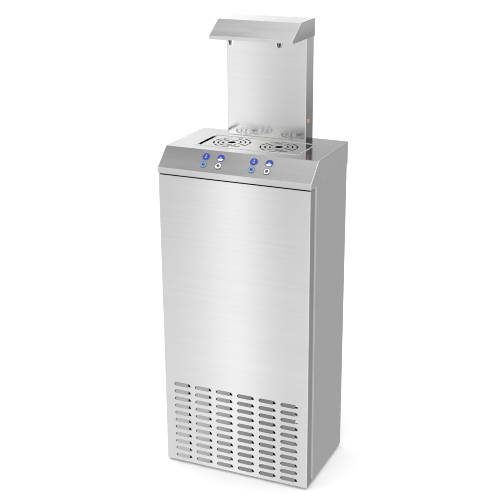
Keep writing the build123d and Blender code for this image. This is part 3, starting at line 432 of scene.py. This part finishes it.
def arc(radius, start, end, steps=18, lift=0.0):
    """Points of a circle between two angles in degrees."""
    turns = [math.radians(start + (end - start) * i / steps) for i in range(steps + 1)]
    return [(radius * math.cos(t), radius * math.sin(t) + lift) for t in turns]


# outlines in millimetres across and up the disc
TUMBLER = [
    (-2.6, -5.0), (2.6, -5.0), (3.6, 2.2), (2.6, 2.2), (1.9, -3.9), (-1.9, -3.9), (-2.6, 2.2), (-3.6, 2.2),
]
TUMBLER_WATER = [(-1.7, -3.5), (1.7, -3.5), (2.1, -0.6), (-2.1, -0.6)]
TUMBLER_DROP = [(0.0, 7.4), (1.5, 4.9), (1.1, 3.6), (-1.1, 3.6), (-1.5, 4.9)]
POOL = arc(9.8, 198, 342)
DOME = arc(4.6, 0, 180, lift=-1.6)


def print_icons():
    """A tumbler on the chilled discs, a half-filled bowl on the still ones, and a thin rim round each."""
    white = moulded("print_white", (0.80, 0.84, 0.90), 0.35, 500.0, 0.02, 0.3)
    pale = moulded("print_pale_blue", (0.30, 0.44, 0.80), 0.35, 500.0, 0.02, 0.3)
    rim = plain_metal("label_rim", (0.50, 0.45, 0.40), 0.3)
    for side, kind, centre in label_centres():
        name = f"icon_{side}_{kind}"
        if kind == "chilled":
            printed_shape(name, centre, [TUMBLER, TUMBLER_WATER], pale)
            printed_shape(name + "_drop", centre, [TUMBLER_DROP], white)
        else:
            printed_shape(name, centre, [POOL], white)
            printed_shape(name + "_dome", centre, [DOME], pale)
        ring_piece(name + "_rim", centre, rim)


def ring_piece(name, centre, material):
    """Thin raised ring round a disc, four-sided in section."""
    outer, inner = [arc(radius, 0, 360, RIM_STEPS)[:-1] for radius in RIM_RADII]
    section = ((outer, -RIM_DEPTH), (outer, PRINT_THICK), (inner, PRINT_THICK), (inner, -RIM_DEPTH))
    work = bmesh.new()
    rows = [[work.verts.new(on_disc(centre, u, v) + FASCIA_OUT * lift) for u, v in loop]
            for loop, lift in section]
    for r, row in enumerate(rows):
        following = rows[(r + 1) % len(rows)]
        for i in range(RIM_STEPS):
            j = (i + 1) % RIM_STEPS
            work.faces.new((row[i], row[j], following[j], following[i]))
    fixed_piece(name, work, material)


# ---------------------------------------------------------------- studio
# Bearings and heights are in degrees. Bearing 0 looks out in front of the fountain, positive to its right,
# +-180 behind it; height 0 is the horizon. A pair is where a soft step begins and ends, and a longer tuple
# adds the value on either side of the step.
AHEAD = (-0.2, -0.5)                       # the direction's y that counts as in front
BEHIND_FROM = (0.2, 0.5)                   # the direction's y that counts as behind
LOW_FADE = (-21.0, -15.0, 1.0, 0.86)
HAZE_HIGH = (-14.0, -10.0, 0.0, 0.55)
HAZE_LOW = (-18.0, -21.0, 0.0, 0.3)
HAZE_LEVEL = 0.90
RISE_AHEAD = (1.0, 6.0)
RISE_BEHIND = (3.0, 6.0)
STEEP = (-34.0, -40.0)
FRONT_SECTOR = ((-64.0, -54.0), (64.0, 54.0))
FRONT_SPARED = (-49.0, -45.0)              # above this the front sector keeps the floor's brightness
RIGHT_SECTOR = ((54.0, 64.0), (128.0, 112.0))
RIGHT_SPARED = (-54.0, -50.0)
SKIRTING_BEARING = (-20.0, -60.0)
SKIRTING_TOP = (11.5, 9.0)
SKIRTING_LEVEL = 1.5
WINDOW_HEIGHT = (22.0, 27.0)
WINDOW_WIDTH = (0.26, 0.16)                # size of the direction's x
WINDOW_LEVEL = 2.8
GREY_BAND_HEIGHT = (17.0, 22.0)
GREY_BAND_LEVEL = (-28.5, -20.5, 0.27, 0.40)
UPPER_RING_HEIGHT = (30.0, 38.0)
UPPER_RING_LEVEL = (0.2, 0.5, 1.3, 2.4)    # with the direction's x
CEILING_HEIGHT = (52.0, 58.0)
CEILING_ALONG = (-0.15, 0.22, 0.46, 0.60)  # with the direction's y
CEILING_ACROSS = (-0.455, -0.35, 0.66, 1.45)
PLAIN_LEVEL = 1.12                         # what the eye and matt things see

# (bearing, brightness) of the surround that the steel mirrors
ROUND_THE_FLOOR = [
    (-180, 0.45), (-150, 0.5), (-130, 0.8), (-112, 0.9), (-90, 0.58), (-72, 0.7), (-60, 0.8), (-40, 1.0),
    (-31, 0.78), (-28.6, 0.66),
    (-27.2, 0.74), (-26, 1.0), (-24.9, 1.35), (-24, 1.15), (-23, 0.70), (-21.9, 0.54), (-20.8, 0.72),
    (-18, 0.95), (-10, 0.75), (-3, 1.05), (5, 0.75), (14, 1.0), (30, 1.15), (60, 1.1), (72, 0.75),
    (90, 0.58), (112, 0.9), (130, 0.6), (150, 0.44), (180, 0.45),
]
ABOVE_HORIZON = [
    (-180, 0.9), (-28, 1.0), (-25.4, 1.6), (-24.4, 1.45), (-23.4, 0.92), (-22.4, 0.66), (-21, 0.45),
    (-15, 0.9), (180, 1.1),
]
BEHIND = [
    (-180, 0.32), (-157.5, 0.36), (-154.5, 0.8), (-152.5, 0.95), (-150, 0.75), (-120, 0.9), (110, 1.2),
    (135, 0.14), (168, 0.14), (180, 0.32),
]
STEEPLY_DOWN = [
    (-180, 0.5), (-104, 0.04), (-88, 1.3), (-66, 1.3), (-52, 0.03), (-12, 0.03), (-7, 0.5), (7, 0.5),
    (12, 0.03), (75, 0.03), (180, 0.5),
]


def product(graph, *values):
    """All the values multiplied together, first to last."""
    result = values[0]
    for value in values[1:]:
        result = graph.math("MULTIPLY", result, value)
    return result


def low_surround(graph, bearing, height, ahead):
    """Brightness below the horizon, with a haze in front."""
    level = graph.profile(bearing, ROUND_THE_FLOOR)
    level = product(graph, level, graph.mix(ahead, 1.0, graph.ramp(height, *LOW_FADE)))
    haze = graph.math("MAXIMUM", graph.ramp(height, *HAZE_HIGH), graph.ramp(height, *HAZE_LOW))
    return graph.mix(product(graph, ahead, haze), level, HAZE_LEVEL)


def steep_share(graph, bearing, height):
    """How much a direction belongs to the steep ring, which leaves out the upper front and right."""
    front = product(graph, *[graph.ramp(bearing, *edge) for edge in FRONT_SECTOR])
    right = product(graph, *[graph.ramp(bearing, *edge) for edge in RIGHT_SECTOR])
    spared = graph.math("ADD", product(graph, front, graph.ramp(height, *FRONT_SPARED)),
                        product(graph, right, graph.ramp(height, *RIGHT_SPARED)))
    return graph.mix(spared, graph.ramp(height, *STEEP), 0.0)


def back_wall(graph, level, bearing, height, x, behind):
    """Adds what stands behind: the far wall, a bright low strip on the left and a bright window."""
    risen = graph.ramp(height, *RISE_BEHIND)
    level = graph.mix(product(graph, behind, risen), level, graph.profile(bearing, BEHIND))
    skirting = product(graph, graph.ramp(bearing, *SKIRTING_BEARING), risen, behind,
                       graph.ramp(height, *SKIRTING_TOP))
    level = graph.mix(skirting, level, SKIRTING_LEVEL)
    narrow = graph.ramp(graph.math("ABSOLUTE", x), *WINDOW_WIDTH)
    window = product(graph, behind, graph.ramp(height, *WINDOW_HEIGHT), narrow)
    return graph.mix(window, level, WINDOW_LEVEL)


def softbox_world():
    """Even white for the eye and for matt things, and softboxes at set bearings for the steel to mirror."""
    world = bpy.data.worlds.new("studio")
    bpy.context.scene.world = world
    world.use_nodes = True
    graph = Graph(world.node_tree)
    where = graph.add("ShaderNodeTexCoord")
    axes = graph.add("ShaderNodeSeparateXYZ")
    graph.link(where.outputs["Generated"], axes.inputs[0])
    x, y, z = axes.outputs
    to_degrees = 180 / math.pi
    bearing = product(graph, graph.math("ARCTAN2", x, product(graph, y, -1.0)), to_degrees)
    height = product(graph, graph.math("ARCSINE", z), to_degrees)
    ahead = graph.ramp(y, *AHEAD)
    behind = graph.ramp(y, *BEHIND_FROM)
    level = low_surround(graph, bearing, height, ahead)
    risen = product(graph, ahead, graph.ramp(height, *RISE_AHEAD))
    level = graph.mix(risen, level, graph.profile(bearing, ABOVE_HORIZON))
    level = graph.mix(steep_share(graph, bearing, height), level, graph.profile(bearing, STEEPLY_DOWN))
    level = back_wall(graph, level, bearing, height, x, behind)
    grey_band = product(graph, ahead, graph.ramp(height, *GREY_BAND_HEIGHT))
    level = graph.mix(grey_band, level, graph.ramp(bearing, *GREY_BAND_LEVEL))
    level = graph.mix(graph.ramp(height, *UPPER_RING_HEIGHT), level, graph.ramp(x, *UPPER_RING_LEVEL))
    ceiling = product(graph, graph.ramp(y, *CEILING_ALONG), graph.ramp(x, *CEILING_ACROSS))
    level = graph.mix(graph.ramp(height, *CEILING_HEIGHT), level, ceiling)
    path = graph.add("ShaderNodeLightPath")
    level = graph.mix(path.outputs["Is Glossy Ray"], PLAIN_LEVEL, level)
    tone = graph.add("ShaderNodeCombineColor")
    for socket in tone.inputs:
        graph.link(level, socket)
    back = graph.add("ShaderNodeBackground", {"Strength": 1.0})
    graph.link(tone.outputs[0], back.inputs["Color"])
    out = graph.add("ShaderNodeOutputWorld")
    graph.link(back.outputs[0], out.inputs["Surface"])


FLOOR_REACH = 30.0


def make_floor():
    """Large pale floor, which the steel doesn't mirror."""
    mesh = bpy.data.meshes.new("floor")
    far = FLOOR_REACH
    mesh.from_pydata([(-far, -far, 0), (far, -far, 0), (far, far, 0), (-far, far, 0)], [], [(0, 1, 2, 3)])
    floor = bpy.data.objects.new("floor", mesh)
    bpy.context.scene.collection.objects.link(floor)
    material, graph, shader = new_material("floor")
    speckle = graph.noise((6.0, 6.0, 6.0), 1.0, 2.0)
    graph.link(graph.tint(speckle, (0.93, 0.93, 0.93), (0.95, 0.95, 0.95)), shader.inputs["Base Color"])
    shader.inputs["Roughness"].default_value = 0.9
    shader.inputs["Specular IOR Level"].default_value = 0.0
    mesh.materials.append(material)
    floor.visible_glossy = False


def area_light(name, at, target, size, power):
    """Rectangular lamp aimed at a point, seen neither by the camera nor in the steel."""
    data = bpy.data.lights.new(name, "AREA")
    data.shape = "RECTANGLE"
    data.size, data.size_y = size
    data.energy = power
    light = bpy.data.objects.new(name, data)
    light.location = at
    light.rotation_mode = "QUATERNION"
    light.rotation_quaternion = (Vector(target) - Vector(at)).to_track_quat("-Z", "Y")
    light.visible_camera = False
    light.visible_glossy = False
    bpy.context.scene.collection.objects.link(light)


LAMP_AT = (-0.6, -0.8, 4.2)
LAMP_AIM = (0.0, 0.0, 0.5)
LAMP_SIZE = (3.2, 3.2)
LAMP_WATTS = 60.0


def light_studio():
    """The surround, and one large soft lamp overhead that shapes the shadow on the floor."""
    softbox_world()
    area_light("overhead", LAMP_AT, LAMP_AIM, LAMP_SIZE, LAMP_WATTS)


make_camera()
dress_nodes()
print_icons()
make_floor()
light_studio()
bpy.context.scene.view_settings.view_transform = "Standard"
bpy.context.scene.cycles.filter_width = 1.0
